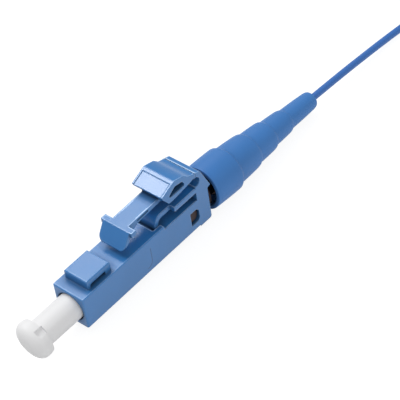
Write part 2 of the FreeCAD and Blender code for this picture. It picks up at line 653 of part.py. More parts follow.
def make_flange():
    """Metal flange pressed on the ferrule: nose, hexagonal collar and tail."""
    body = new_body("ferrule_flange")
    front = "flange_nose_front"
    seat = "mouth_depth + shoulder_thick + seat_gap"
    ferrule_rear = "ferrule_length - ferrule_reach"
    nose = outline(body, "flange_profile", "XZ_Plane", [
        (front, "ferrule_radius"), (front, "flange_nose_radius - 0.1"),
        (front + " + 0.15", "flange_nose_radius"), (seat + " + 0.2", "flange_nose_radius"),
        (seat + " + 0.2", "flange_tail_radius"), ("flange_tail_end - 0.1", "flange_tail_radius"),
        ("flange_tail_end", "flange_tail_radius - 0.1"),
        ("flange_tail_end", "buffer_radius + buffer_gap + 0.15"),
        ("flange_tail_end - 0.3", "buffer_radius + buffer_gap"),
        ("flange_step", "buffer_radius + buffer_gap"), ("flange_step", "glass_radius + 0.1"),
        (ferrule_rear, "glass_radius + 0.1"), (ferrule_rear, "ferrule_radius")])
    turned(body, nose)
    corners = [("collar_radius * cos(%d * 1deg)" % (60 * step),
                "collar_radius * sin(%d * 1deg)" % (60 * step)) for step in range(6)]
    hexagon = outline(body, "flange_collar", "YZ_Plane", corners, offset=seat)
    pad(body, hexagon, "collar_thick", both_ways=False)
    bore = ring(body, "collar_bore", "YZ_Plane", "0", "0", "flange_tail_radius * 0.85", offset=seat)
    pocket(body, bore, "collar_thick", both_ways=False, back=True)
    inside = outline(body, "collar_core", "XZ_Plane", [
        (seat + " - 0.1", "glass_radius + 0.1"), (seat + " - 0.1", "flange_tail_radius * 0.95"),
        (seat + " + collar_thick + 0.1", "flange_tail_radius * 0.95"),
        (seat + " + collar_thick + 0.1", "glass_radius + 0.1")])
    turned(body, inside)
    return body


def tube_along(points, radius):
    """A round rod along straight runs joined by tangent arcs; also returns the bend radii."""
    corners = [V(*point) for point in points]
    pieces = []
    radii = []
    start = corners[0]
    for before, here, after in zip(corners, corners[1:], corners[2:]):
        back = before - here
        ahead = after - here
        turn = math.pi - back.getAngle(ahead)
        reach = 0.45 * min(back.Length, ahead.Length)
        bend = reach / math.tan(turn / 2)
        back.normalize()
        ahead.normalize()
        enter = here + back * reach
        leave = here + ahead * reach
        middle = back + ahead
        middle.normalize()
        centre_gap = bend / math.cos(turn / 2)
        on_arc = here + middle * (centre_gap - bend)
        pieces.append(Part.LineSegment(start, enter).toShape())
        pieces.append(Part.Arc(enter, on_arc, leave).toShape())
        radii.append(bend)
        start = leave
    pieces.append(Part.LineSegment(start, corners[-1]).toShape())
    path = Part.Wire(pieces)
    along = corners[1] - corners[0]
    circle = Part.Wire([Part.makeCircle(radius, corners[0], along)])
    rod = path.makePipeShell([circle], True, False)
    expected = math.pi * radius ** 2 * path.Length
    if abs(rod.Volume - expected) > 0.01 * expected:
        raise RuntimeError("a rod's volume is off: %.4f against %.4f" % (rod.Volume, expected))
    return rod, radii


def make_spring():
    """Compression spring between the flange's collar and the backbone."""
    front = number("mouth_depth + shoulder_thick + seat_gap + collar_thick")
    wire = size("spring_wire")
    length = size("backbone_front") - front - 2 * wire
    helix = Part.makeHelix(size("spring_pitch"), length, size("spring_radius"))
    helix.rotate(V(0, 0, 0), V(0, 1, 0), 90)
    helix.translate(V(front + wire, 0, 0))
    first = helix.Edges[0]
    start = first.valueAt(first.FirstParameter)
    section = Part.Wire([Part.makeCircle(wire, start, first.tangentAt(first.FirstParameter))])
    return feature("coil_spring", Part.Wire(helix.Edges).makePipeShell([section], True, True))


# ---------------------------------------------------------------- backbone and guide tube

def make_backbone():
    """Turned brass backbone: seat of the spring, snap tabs, collar and barbed barrel."""
    body = new_body("backbone")
    collar = "plug_length + collar_gap"
    collar_rear = collar + " + rear_collar_thick"
    corners = [
        ("backbone_front", "backbone_bore"), ("backbone_front", "backbone_radius"),
        ("backbone_front + 1.5", "backbone_radius"), ("backbone_front + 1.8", "backbone_waist"),
        ("window_front - 0.8", "backbone_waist"), ("window_front - 0.5", "backbone_radius"),
        (collar, "backbone_radius"), (collar, "rear_collar_radius"),
        (collar_rear, "rear_collar_radius"), (collar_rear, "barrel_radius")]
    for step in range(3):
        foot = "barrel_end - %.1f" % (2.6 - 0.9 * step)
        corners += [(foot, "barrel_radius"), (foot, "barrel_radius + barb_height"),
                    (foot + " + 0.6", "barrel_radius")]
    corners += [("barrel_end", "barrel_radius"), ("barrel_end", "backbone_bore")]
    profile = outline(body, "backbone_profile", "XZ_Plane", corners)
    turned(body, profile)
    tab_rear = "window_front + window_length - snap_gap"
    tab_top = "window_bottom + window_height - snap_gap"
    tabs = outline(body, "snap_tabs", "XZ_Plane", [
        ("window_front + snap_gap", "window_bottom + snap_gap + 0.25"),
        (tab_rear + " - 0.35", "window_bottom + snap_gap + 0.25"),
        (tab_rear, "window_bottom + snap_gap + 0.7"), (tab_rear, tab_top + " - 0.5"),
        (tab_rear + " - 0.35", tab_top), ("window_front + snap_gap", tab_top)])
    pad(body, tabs, "2 * snap_reach")
    clear = ring(body, "tabs_bore", "YZ_Plane", "0", "0", "backbone_bore",
                 offset="window_front - 0.2")
    pocket(body, clear, "window_length + 0.4", both_ways=False, back=True)
    return body


def make_guide_tube():
    """Thin plastic tube that leads the buffered fibre through the backbone."""
    body = new_body("guide_tube")
    profile = outline(body, "tube_profile", "XZ_Plane", [
        ("backbone_front + 0.1", "tube_inner"), ("backbone_front + 0.1", "tube_outer"),
        ("barrel_end + 0.3", "tube_outer"), ("barrel_end + 0.3", "tube_inner")])
    turned(body, profile)
    return body


# ---------------------------------------------------------------- boot

BOOT_STAGES = "abcde"


def make_boot():
    """Soft strain relief boot: hollow rim, five stages, tapered bore. Built along X."""
    body = new_body("boot")
    corners = [("0", "boot_rim - rim_chamfer"), ("rim_chamfer", "boot_rim")]
    for index, letter in enumerate(BOOT_STAGES):
        if index:
            corners.append(("stage_%s_reach" % BOOT_STAGES[index - 1], "stage_%s_start" % letter))
        corners.append(("stage_%s_reach" % letter, "stage_%s_end" % letter))
    corners += [
        ("stage_e_reach", "boot_exit_bore"), ("boot_taper_end", "boot_exit_bore"),
        ("boot_grip_end", "boot_throat"), ("boot_grip_end", "boot_grip"),
        ("boot_mouth_depth", "boot_grip"), ("boot_mouth_depth - mouth_taper", "boot_mouth"),
        ("0", "boot_mouth")]
    profile = outline(body, "boot_profile", "XZ_Plane", corners)
    turned(body, profile)
    ends = [(size("stage_%s_reach" % letter), size("stage_%s_end" % letter))
            for letter in BOOT_STAGES[:-1]]
    fillet(body, "boot_steps", "boot_step_round", lambda mid, along, edge:
           any(near(mid.x, reach) and near(math.hypot(mid.y, mid.z), radius, 1e-3)
               for reach, radius in ends))
    fillet(body, "boot_end", "boot_end_round", lambda mid, along, edge:
           near(mid.x, size("stage_e_reach"))
           and near(math.hypot(mid.y, mid.z), size("stage_e_end"), 1e-3))
    body.Placement = FreeCAD.Placement(
        V(size("boot_front"), 0, 0), FreeCAD.Rotation(V(0, 1, 0), size("boot_droop")))
    body.setExpression("Placement.Base.x", bound("boot_front"))
    body.setExpression("Placement.Rotation.Angle", bound("boot_droop * 1deg"))
    doc.recompute()
    return body


def boot_axis(depth):
    """A point on the boot's axis, that far behind its rim."""
    angle = math.radians(size("boot_droop"))
    return (size("boot_front") + depth * math.cos(angle), 0.0, -depth * math.sin(angle))


# ---------------------------------------------------------------- dust cap

# Sections of the cap's head, rear to front: share of its length, and of its two half widths.
CAP_SECTIONS = [
    (0.0, 0.97, 0.985), (0.17, 1.0, 1.0), (0.47, 1.0, 1.0), (0.7, 0.91, 0.9),
    (0.87, 0.73, 0.71), (0.97, 0.47, 0.45), (1.0, 0.2, 0.18),
]


def make_dust_cap():
    """Push-on cap: skirt in the plug's mouth, blind bore, oblong domed head, two notches."""
    skirt = new_body("cap_skirt")
    profile = outline(skirt, "cap_profile", "XZ_Plane", [
        ("-cap_neck - 0.3", "0"), ("-cap_neck - 0.3", "cap_radius"),
        ("cap_inside - 0.3", "cap_radius"), ("cap_inside", "cap_radius - 0.2"),
        ("cap_inside", "cap_bore + 0.15"), ("cap_inside - 0.4", "cap_bore"),
        ("-ferrule_reach - cap_tip_room", "cap_bore"),
        ("-ferrule_reach - cap_tip_room - 0.3", "0")])
    turned(skirt, profile)
    rings = []
    for index, (share, ear, side) in enumerate(CAP_SECTIONS):
        ellipse = doc.addObject("Part::Ellipse", "cap_ring_%d" % index)
        ellipse.setExpression("MajorRadius", bound("cap_ear * %g" % ear))
        ellipse.setExpression("MinorRadius", bound("cap_side * %g" % side))
        ellipse.Placement = FreeCAD.Placement(V(0, 0, 0), FreeCAD.Rotation(V(1, 1, 1), 120))
        ellipse.setExpression(
            "Placement.Base.x", bound("-cap_neck - cap_head_length * %g" % share))
        rings.append(ellipse)
    head = doc.addObject("Part::Loft", "cap_head")
    head.Sections = rings
    head.Solid = True
    whole = doc.addObject("Part::MultiFuse", "cap_whole")
    whole.Shapes = [skirt, head]
    tools = []
    for index, side in enumerate(("cap_side - cap_notch", "-cap_side - 0.5")):
        tool = doc.addObject("Part::Box", "cap_notch_tool_%d" % index)
        tool.setExpression("Length", bound("cap_notch_length"))
        tool.setExpression("Width", bound("cap_notch_width"))
        tool.setExpression("Height", bound("cap_notch + 0.5"))
        tool.setExpression("Placement.Base.x", bound("0.2 - cap_neck - cap_notch_length"))
        tool.setExpression("Placement.Base.y", bound("-cap_notch_width / 2"))
        tool.setExpression("Placement.Base.z", bound(side))
        tools.append(tool)
    notches = doc.addObject("Part::MultiFuse", "cap_notches")
    notches.Shapes = tools
    cap = doc.addObject("Part::Cut", "dust_cap")
    cap.Label = "dust_cap"
    cap.Base = whole
    cap.Tool = notches
    cap.Placement = FreeCAD.Placement(V(0, 0, 0), FreeCAD.Rotation(V(1, 0, 0), size("cap_turn")))
    cap.setExpression("Placement.Rotation.Angle", bound("cap_turn * 1deg"))
    doc.recompute()
    return cap


# ---------------------------------------------------------------- fibre, hank and tie

FLOOR = "-(stage_a_reach * sin(boot_droop * 1deg) + stage_a_end * cos(boot_droop * 1deg))"
HANK_MIDDLE = "hank_front + hank_fold + (hank_layers - 0.5) * 2 * buffer_radius + hank_run / 2"


def make_hank():
    """The coiled rest of the fibre, as one solid round its turns."""
    body = new_body("fibre_hank")
    bottom = FLOOR + " + tie_thick + tie_gap"
    around = "hank_fold + (hank_layers - 0.5) * 2 * buffer_radius"
    outer = racetrack(body, "hank_outer", HANK_MIDDLE, "hank_side", "hank_run / 2", around, bottom)
    pad(body, outer, "hank_rows * 2 * buffer_radius", both_ways=False)
    inner = racetrack(body, "hank_inner", HANK_MIDDLE, "hank_side", "hank_run / 2",
                      "hank_fold - buffer_radius", bottom)
    pocket(body, inner, "hank_rows * 2 * buffer_radius", both_ways=False, back=True)
    return body


def make_tie():
    """Hook-and-loop band round the middle of the hank."""
    body = new_body("hank_tie")
    half = "hank_fold + (hank_layers - 0.5) * 2 * buffer_radius + tie_gap"
    low = FLOOR + " + tie_thick"
    high = FLOOR + " + tie_thick + 2 * tie_gap + hank_rows * 2 * buffer_radius"
    band = outline(body, "tie_outer", "YZ_Plane", [
        ("hank_side - (%s) - tie_thick" % half, low + " - tie_thick"),
        ("hank_side + %s + tie_thick" % half, low + " - tie_thick"),
        ("hank_side + %s + tie_thick" % half, high + " + tie_thick"),
        ("hank_side - (%s) - tie_thick" % half, high + " + tie_thick")],
        offset=HANK_MIDDLE + " - tie_width / 2")
    pad(body, band, "tie_width", both_ways=False)
    hole = outline(body, "tie_inner", "YZ_Plane", [
        ("hank_side - (%s)" % half, low), ("hank_side + %s" % half, low),
        ("hank_side + %s" % half, high), ("hank_side - (%s)" % half, high)],
        offset=HANK_MIDDLE + " - tie_width / 2")
    pocket(body, hole, "tie_width", both_ways=False, back=True)
    return body


housing = make_housing()
lever = make_latch_lever()
ferrule = make_ferrule()
flange = make_flange()
spring = make_spring()
backbone = make_backbone()
guide_tube = make_guide_tube()
boot = make_boot()
dust_cap = make_dust_cap()
hank = make_hank()
tie = make_tie()

glass = doc.addObject("Part::Cylinder", "bare_fibre")
glass.Label = "bare_fibre"
glass.Placement = FreeCAD.Placement(
    V(-size("ferrule_reach"), 0, 0), FreeCAD.Rotation(V(0, 1, 0), 90))
glass.setExpression("Radius", bound("glass_radius"))
glass.setExpression("Height", bound("ferrule_reach + flange_step - 0.05"))
glass.setExpression("Placement.Base.x", bound("-ferrule_reach"))

buffer_route = [
    (size("buffer_front"), 0.0, 0.0),
    (size("barrel_end") + 1.0, 0.0, 0.0),
    boot_axis(size("boot_taper_end")),
    boot_axis(size("stage_e_reach"))]
buffer_rod, buffer_bends = tube_along(buffer_route, size("buffer_radius"))
buffer = feature("buffered_fibre", buffer_rod)

route = [boot_axis(size("stage_e_reach"))] + PIGTAIL_ROUTE
pigtail_rod, pigtail_bends = tube_along(route, size("buffer_radius"))
pigtail = feature("pigtail", pigtail_rod)
print("bend radii inside the boot, mm:", ["%.1f" % bend for bend in buffer_bends])
print("bend radii of the pigtail, mm:", ["%.1f" % bend for bend in pigtail_bends])
print("floor at %.3f mm" % number(FLOOR))

# ---------------------------------------------------------------- writing the files

doc.recompute()
for item in doc.Objects:
    if "Invalid" in item.State or "Error" in item.State:
        raise RuntimeError("%s: %s" % (item.Name, item.State))

os.makedirs("parts", exist_ok=True)
PIECES = [housing, lever, ferrule, flange, glass, spring, backbone, guide_tube, buffer, boot,
          dust_cap, pigtail, hank, tie]
for piece in PIECES:
    shape = piece.Shape
    if shape.isNull() or not shape.isValid() or len(shape.Solids) != 1:
        raise RuntimeError("%s is not one sound solid" % piece.Label)
    shape.exportStep(os.path.join("parts", piece.Label + ".step"))
    box = shape.BoundBox
    print("%-15s %9.3f mm3  x %.2f..%.2f  y %.2f..%.2f  z %.2f..%.2f" % (
        piece.Label, shape.Volume, box.XMin, box.XMax, box.YMin, box.YMax, box.ZMin, box.ZMax))
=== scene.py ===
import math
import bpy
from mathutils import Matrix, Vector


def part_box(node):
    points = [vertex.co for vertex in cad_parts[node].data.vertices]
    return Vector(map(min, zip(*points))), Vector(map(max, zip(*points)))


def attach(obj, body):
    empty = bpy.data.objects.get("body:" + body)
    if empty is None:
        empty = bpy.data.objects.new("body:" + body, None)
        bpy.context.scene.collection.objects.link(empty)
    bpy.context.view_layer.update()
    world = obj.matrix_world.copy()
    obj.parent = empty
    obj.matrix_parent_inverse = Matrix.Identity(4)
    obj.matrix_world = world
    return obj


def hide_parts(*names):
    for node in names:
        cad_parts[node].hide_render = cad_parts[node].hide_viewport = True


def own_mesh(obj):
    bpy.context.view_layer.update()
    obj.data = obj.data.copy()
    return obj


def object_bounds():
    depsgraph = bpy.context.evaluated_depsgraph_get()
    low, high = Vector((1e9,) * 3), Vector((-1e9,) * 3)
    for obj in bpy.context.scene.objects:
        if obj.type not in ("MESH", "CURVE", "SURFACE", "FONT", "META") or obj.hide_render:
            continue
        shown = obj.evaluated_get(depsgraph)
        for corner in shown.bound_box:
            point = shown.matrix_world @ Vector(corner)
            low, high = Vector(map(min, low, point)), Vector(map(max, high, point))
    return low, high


bl_info = {
    "name": "Fibre connector on a pigtail",
    "version": (1, 0, 0),
    "blender": (4, 5, 0),
    "location": "View3D > Sidebar > Connector",
    "description": "Dresses the plug, its boot, dust cap and buffered fibre",
    "category": "Object",
}

import bmesh
import bpy
from mathutils import Matrix, Vector

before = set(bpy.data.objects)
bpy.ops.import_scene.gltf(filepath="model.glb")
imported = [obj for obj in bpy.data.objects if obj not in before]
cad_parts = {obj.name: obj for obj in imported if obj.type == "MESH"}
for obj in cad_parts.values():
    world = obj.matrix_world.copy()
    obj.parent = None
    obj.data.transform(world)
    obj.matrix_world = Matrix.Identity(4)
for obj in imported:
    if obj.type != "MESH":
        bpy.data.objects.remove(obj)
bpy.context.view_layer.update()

MM = 0.001
# Faces whose directions differ by less than about half a degree lie in one plane.
FLAT_COSINE = 0.99996
# Up to this many degrees, faces that meet are shaded as one smooth surface.
SMOOTH_ANGLE = 32.0
# Corners closer than this are merged, and the ends of a turned outline closer still.
MERGE = 1e-6
MERGE_TURNED = 1e-7

# ---------------------------------------------------------------- what the frame gives

HANK_LOW, HANK_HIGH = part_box("fibre_hank")
TIE_LOW, TIE_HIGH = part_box("hank_tie")
# A hair below the lowest point, so the tape and the floor don't share one plane.
FLOOR_GAP = 0.00001
FLOOR_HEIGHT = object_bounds()[0].z - FLOOR_GAP


def srgb(red, green, blue):
    """A linear colour from the 0..255 values of a colour picker."""
    channels = []
    for value in (red, green, blue):
        part = value / 255.0
        channels.append(part / 12.92 if part <= 0.04045 else ((part + 0.055) / 1.055) ** 2.4)
    return (channels[0], channels[1], channels[2], 1.0)


def colour_prop(name, description, red, green, blue):
    return bpy.props.FloatVectorProperty(
        name=name, description=description, subtype="COLOR", size=4, min=0.0, max=1.0,
        default=srgb(red, green, blue))


def length_prop(name, description, millimetres):
    return bpy.props.FloatProperty(
        name=name, description=description, unit="LENGTH", default=millimetres * MM)


# ---------------------------------------------------------------- settings

class ConnectorSettings(bpy.types.PropertyGroup):
    body_colour: colour_prop("Body", "Plastic of the plug body and latch", 50, 122, 189)
    boot_colour: colour_prop("Boot", "Soft plastic of the boot", 57, 121, 191)
    fibre_colour: colour_prop("Fibre", "Buffer coating of the fibre", 54, 109, 184)
    cap_colour: colour_prop("Cap", "Milky plastic of the dust cap", 237, 237, 238)
    # The brass colour is darkened past that of brass to stand for the shade inside the plug:
    # painted shade.
    shaded_brass_colour: colour_prop("Brass", "Dull turned brass inside the plug", 62, 50, 49)
    steel_colour: colour_prop("Steel", "Wire of the spring", 150, 150, 152)
    ceramic_colour: colour_prop("Ceramic", "Polished ceramic of the ferrule", 238, 238, 232)
    glass_colour: colour_prop("Glass", "Bare fibre in the ferrule", 225, 236, 240)
    tape_colour: colour_prop("Tape", "Hook-and-loop tape round the hank", 34, 35, 38)
    edge_round: length_prop("Edge", "Rounding of the moulded edges", 0.17)
    boot_droop: bpy.props.FloatProperty(
        name="Boot droop", description="How far the boot hangs below the plug's axis",
        subtype="ANGLE", default=math.radians(4.3))
    boot_front: length_prop("Boot rim", "Where the boot's rim stands behind the plug", 21.75)
    fibre_diameter: length_prop("Fibre", "Diameter of the buffered fibre", 0.9)
    pigtail_length: length_prop("Pigtail", "Length of the free fibre", 1000.0)


class StageSettings(bpy.types.PropertyGroup):
    floor_colour: colour_prop("Floor", "Colour of the floor", 208, 208, 208)
    floor_size: length_prop("Floor size", "Side of the floor", 3000.0)
    key_watts: bpy.props.FloatProperty(
        name="Key power", description="Power of the small soft box", default=1.05)
    back_watts: bpy.props.FloatProperty(
        name="Back power", description="Power of the soft box behind", default=0.66)
    fill_watts: bpy.props.FloatProperty(
        name="Fill power", description="Power of the lamp at the front", default=0.52)
    sky_strength: bpy.props.FloatProperty(
        name="Sky", description="Strength of the even light all round", default=0.5)


def settings():
    return bpy.context.scene.connector_settings


def stage_settings():
    return bpy.context.scene.connector_stage


# ---------------------------------------------------------------- node helpers

def new_group(name, inputs, outputs):
    """An empty shader node group, with its sockets' names, kinds and inputs' defaults."""
    group = bpy.data.node_groups.new(name, "ShaderNodeTree")
    for label, kind, value in inputs:
        socket = group.interface.new_socket(name=label, in_out="INPUT", socket_type=kind)
        socket.default_value = value
    for label, kind in outputs:
        group.interface.new_socket(name=label, in_out="OUTPUT", socket_type=kind)
    entry = group.nodes.new("NodeGroupInput")
    leave = group.nodes.new("NodeGroupOutput")
    return group, entry, leave


def feed(tree, value, target):
    """Gives a node's input its value: a link from a socket, or a number or colour."""
    if isinstance(value, bpy.types.NodeSocket):
        tree.links.new(value, target)
    else:
        target.default_value = value


def maths(tree, operation, *values):
    """A Math node fed by sockets or numbers."""
    node = tree.nodes.new("ShaderNodeMath")
    node.operation = operation
    for index, value in enumerate(values):
        feed(tree, value, node.inputs[index])
    return node.outputs[0]


def noise(tree, vector, scale, detail=2.0, roughness=0.5):
    node = tree.nodes.new("ShaderNodeTexNoise")
    tree.links.new(vector, node.inputs["Vector"])
    feed(tree, scale, node.inputs["Scale"])
    node.inputs["Detail"].default_value = detail
    node.inputs["Roughness"].default_value = roughness
    return node.outputs["Fac"]


def object_coords(tree):
    return tree.nodes.new("ShaderNodeTexCoord").outputs["Object"]


def scaled(colour, factor, lift=0.0):
    """The colour with its channels scaled and lifted, none above 1."""
    return [min(channel * factor + lift, 1.0) for channel in colour[:3]] + [1.0]


def mixed(tree, amount, first, second):
    """A colour mix by a 0..1 value; each side is a socket or a colour."""
    mix = tree.nodes.new("ShaderNodeMix")
    mix.data_type = "RGBA"
    feed(tree, amount, mix.inputs["Factor"])
    feed(tree, first, mix.inputs["A"])
    feed(tree, second, mix.inputs["B"])
    return mix.outputs["Result"]


def shaded_colour(tree, base, amount, dark, light):
    """The base colour, mixed towards its darker and lighter versions by a 0..1 value."""
    return mixed(tree, amount, scaled(base, dark), scaled(base, light))


# Sink marks are shallow waves a millimetre or two apart. How many noise cells of them go to
# a metre, and how much they and the fine texture count in the height.
WAVE_SCALE = 520.0
WAVE_HEIGHT = 4.0
GRAIN_HEIGHT = 0.4


def moulded_surface_group():
    """Clouding, roughness and fine texture of moulded plastic."""
    group, entry, leave = new_group(
        "moulded surface",
        [("Cloud Scale", "NodeSocketFloat", 300.0), ("Grain Scale", "NodeSocketFloat", 9000.0),
         ("Roughness", "NodeSocketFloat", 0.4), ("Roughness Spread", "NodeSocketFloat", 0.1)],
        [("Cloud", "NodeSocketFloat"), ("Roughness", "NodeSocketFloat"),
         ("Height", "NodeSocketFloat")])
    where = object_coords(group)
    cloud = noise(group, where, entry.outputs["Cloud Scale"], detail=3.0)
    grain = noise(group, where, entry.outputs["Grain Scale"], roughness=0.6)
    spread = maths(group, "MULTIPLY", maths(group, "SUBTRACT", cloud, 0.5),
                   entry.outputs["Roughness Spread"])
    rough = maths(group, "ADD", entry.outputs["Roughness"], spread)
    wave = noise(group, where, WAVE_SCALE, detail=1.0)
    height = maths(group, "ADD", maths(group, "MULTIPLY", grain, GRAIN_HEIGHT),
                   maths(group, "MULTIPLY", wave, WAVE_HEIGHT))
    group.links.new(cloud, leave.inputs["Cloud"])
    group.links.new(rough, leave.inputs["Roughness"])
    group.links.new(height, leave.inputs["Height"])
    return group


# How wide the mask of the painted edge highlight reaches, where it starts and how fast it
# grows.
EDGE_REACH = 1.3
EDGE_START = 0.07
EDGE_GAIN = 6.0
# The painted edge highlight shows most on edges that face straight up, as if lit from above.
# How fast the others fall off, and what they keep.
HIGHLIGHT_FACING = (0.0, 0.0, 1.0)
HIGHLIGHT_FALL = 9.0
HIGHLIGHT_LEAST = 0.05


def soft_edge_group():
    """Normal rounded over the edges, a mask of the outer edges that face up for a painted
    highlight, and openness for painted shade.
    """
    group, entry, leave = new_group(
        "soft edges",
        [("Width", "NodeSocketFloat", 0.0001), ("Cavity", "NodeSocketFloat", 0.0014)],
        [("Normal", "NodeSocketVector"), ("Edge", "NodeSocketFloat"),
         ("Open", "NodeSocketFloat")])
    soft = group.nodes.new("ShaderNodeBevel")
    soft.samples = 8
    group.links.new(entry.outputs["Width"], soft.inputs["Radius"])
    # Seen from within, only an outer edge has another face close by.
    inward = group.nodes.new("ShaderNodeAmbientOcclusion")
    inward.samples = 12
    inward.inside = True
    inward.only_local = True
    group.links.new(maths(group, "MULTIPLY", entry.outputs["Width"], EDGE_REACH),
                    inward.inputs["Distance"])
    # Painted highlight mask: outer edges, weighted towards those that face up as if lit from
    # above.
    facing = group.nodes.new("ShaderNodeVectorMath")
    facing.operation = "DOT_PRODUCT"
    group.links.new(soft.outputs["Normal"], facing.inputs[0])
    facing.inputs[1].default_value = HIGHLIGHT_FACING
    upward = maths(group, "POWER", maths(group, "MAXIMUM", facing.outputs["Value"], 0.0),
                   HIGHLIGHT_FALL)
    edge = maths(group, "SUBTRACT", maths(group, "SUBTRACT", 1.0, inward.outputs["AO"]),
                 EDGE_START)
    edge = maths(group, "MULTIPLY", maths(group, "MAXIMUM", edge, 0.0), EDGE_GAIN)
    edge = maths(group, "MULTIPLY", maths(group, "MINIMUM", edge, 1.0),
                 maths(group, "MULTIPLY_ADD", upward, 1.0 - HIGHLIGHT_LEAST, HIGHLIGHT_LEAST))
    # Openness from ambient occlusion, by which the plastic paints shade into its corners.
    corner = group.nodes.new("ShaderNodeAmbientOcclusion")
    corner.samples = 8
    group.links.new(entry.outputs["Cavity"], corner.inputs["Distance"])
    group.links.new(soft.outputs["Normal"], leave.inputs["Normal"])
    group.links.new(edge, leave.inputs["Edge"])
    group.links.new(corner.outputs["AO"], leave.inputs["Open"])
    return group


def witness_line_group():
    """Mask of the hairline that the mould leaves on the body's -Y side."""
    group, entry, leave = new_group(
        "witness line",
        [("Line X", "NodeSocketFloat", 0.0107), ("Bend X", "NodeSocketFloat", 0.0099),
         ("Bend Z", "NodeSocketFloat", -0.00066), ("Top Z", "NodeSocketFloat", 0.00107),
         ("Side Y", "NodeSocketFloat", -0.0022), ("Width", "NodeSocketFloat", 0.00009)],
        [("Line", "NodeSocketFloat")])
    split = group.nodes.new("ShaderNodeSeparateXYZ")
    group.links.new(object_coords(group), split.inputs[0])
    x, y, z = (split.outputs[axis] for axis in "XYZ")
    upright = maths(group, "ABSOLUTE", maths(group, "SUBTRACT", x, entry.outputs["Line X"]))
    across = maths(group, "SUBTRACT", x, entry.outputs["Bend X"])
    below = maths(group, "SUBTRACT", z, entry.outputs["Bend Z"])
    reach = maths(group, "SQRT", maths(group, "ADD", maths(group, "MULTIPLY", across, across),
                                       maths(group, "MULTIPLY", below, below)))
    radius = maths(group, "SUBTRACT", entry.outputs["Line X"], entry.outputs["Bend X"])
    bend = maths(group, "ABSOLUTE", maths(group, "SUBTRACT", reach, radius))
    straight = maths(group, "GREATER_THAN", below, 0.0)
    gap = maths(group, "ADD", maths(group, "MULTIPLY", straight, upright),
                maths(group, "MULTIPLY", maths(group, "SUBTRACT", 1.0, straight), bend))
    mask = maths(group, "SUBTRACT", 1.0, maths(group, "DIVIDE", gap, entry.outputs["Width"]))
    mask = maths(group, "MAXIMUM", mask, 0.0)
    for inside in (maths(group, "LESS_THAN", z, entry.outputs["Top Z"]),
                   maths(group, "GREATER_THAN", across, 0.0),
                   maths(group, "LESS_THAN", y, entry.outputs["Side Y"])):
        mask = maths(group, "MULTIPLY", mask, inside)
    group.links.new(mask, leave.inputs["Line"])
    return group


def shared_group(name, builder):
    found = bpy.data.node_groups.get(name)
    return found if found is not None else builder()


def place_group(tree, group, **values):
    node = tree.nodes.new("ShaderNodeGroup")
    node.node_tree = group
    for label, value in values.items():
        node.inputs[label.replace("_", " ")].default_value = value
    return node


def new_material(name):
    material = bpy.data.materials.new(name)
    material.use_nodes = True
    tree = material.node_tree
    shader = tree.nodes["Principled BSDF"]
    return material, tree, shader


def bump(tree, shader, height, strength, distance):
    node = tree.nodes.new("ShaderNodeBump")
    node.inputs["Strength"].default_value = strength
    node.inputs["Distance"].default_value = distance
    tree.links.new(height, node.inputs["Height"])
    tree.links.new(node.outputs["Normal"], shader.inputs["Normal"])
    return node


# ---------------------------------------------------------------- materials

# Moulded plastic: how strongly its texture shows, how much lighter its upward edges are painted
# as a highlight, and how its corners and clefts are painted darker as shade and dulled.
TEXTURE_STRENGTH = 0.25
HIGHLIGHT_LIGHTER = 1.4
SHADE_FALL = 1.4
PAINTED_SHADE_DARK = 0.22
CORNER_DULL = 0.7
# The mould's hairline on the body: how much of it shows, and how dark it is.
LINE_STRENGTH = 0.9
LINE_DARK = 0.35
# Turned metal: noise cells of its rings and stains to a metre, and the rings' uneven gloss.
RING_SCALE = 9000.0
STAIN_SCALE = 700.0
RING_SPREAD = 0.16
# Hook tape: noise cells of its pile and bands of its weave to a metre, and the pile's share.
PILE_SCALE = 5200.0
WEAVE_SCALE = 900.0
PILE_SHARE = 0.6


def moulded_plastic(name, colour, roughness, spread, cloud, grain, depth, ior=1.48,
                    dark=0.93, light=1.08, edge=0.0, edge_highlight=0.4):
    """A moulded plastic: clouded colour, uneven gloss, fine texture and softened edges; with an
    edge width, also a painted highlight on upward edges and painted shade in corners.
    """
    material, tree, shader = new_material(name)
    surface = place_group(
        tree, shared_group("moulded surface", moulded_surface_group),
        Cloud_Scale=cloud, Grain_Scale=grain, Roughness=roughness, Roughness_Spread=spread)
    tint = shaded_colour(tree, colour, surface.outputs["Cloud"], dark, light)
    rough = surface.outputs["Roughness"]
    shader.inputs["IOR"].default_value = ior
    texture = bump(tree, shader, surface.outputs["Height"], TEXTURE_STRENGTH, depth)
    if edge:
        soft = place_group(tree, shared_group("soft edges", soft_edge_group), Width=edge)
        tree.links.new(soft.outputs["Normal"], texture.inputs["Normal"])
        # Painted highlight: edges that face up are painted lighter, as if they caught the
        # lamps.
        edge_highlighted = mixed(tree, soft.outputs["Edge"], tint, scaled(colour, HIGHLIGHT_LIGHTER, edge_highlight))
        # Painted shade: closed corners and clefts are painted darker, and their gloss is
        # dulled.
        unshaded = maths(tree, "POWER", soft.outputs["Open"], SHADE_FALL)
        tint = mixed(tree, unshaded, scaled(colour, PAINTED_SHADE_DARK), edge_highlighted)
        dull = maths(tree, "MULTIPLY", maths(tree, "SUBTRACT", 1.0, soft.outputs["Open"]),
                     CORNER_DULL)
        rough = maths(tree, "ADD", rough, dull)
    tree.links.new(rough, shader.inputs["Roughness"])
    tree.links.new(tint, shader.inputs["Base Color"])
    return material


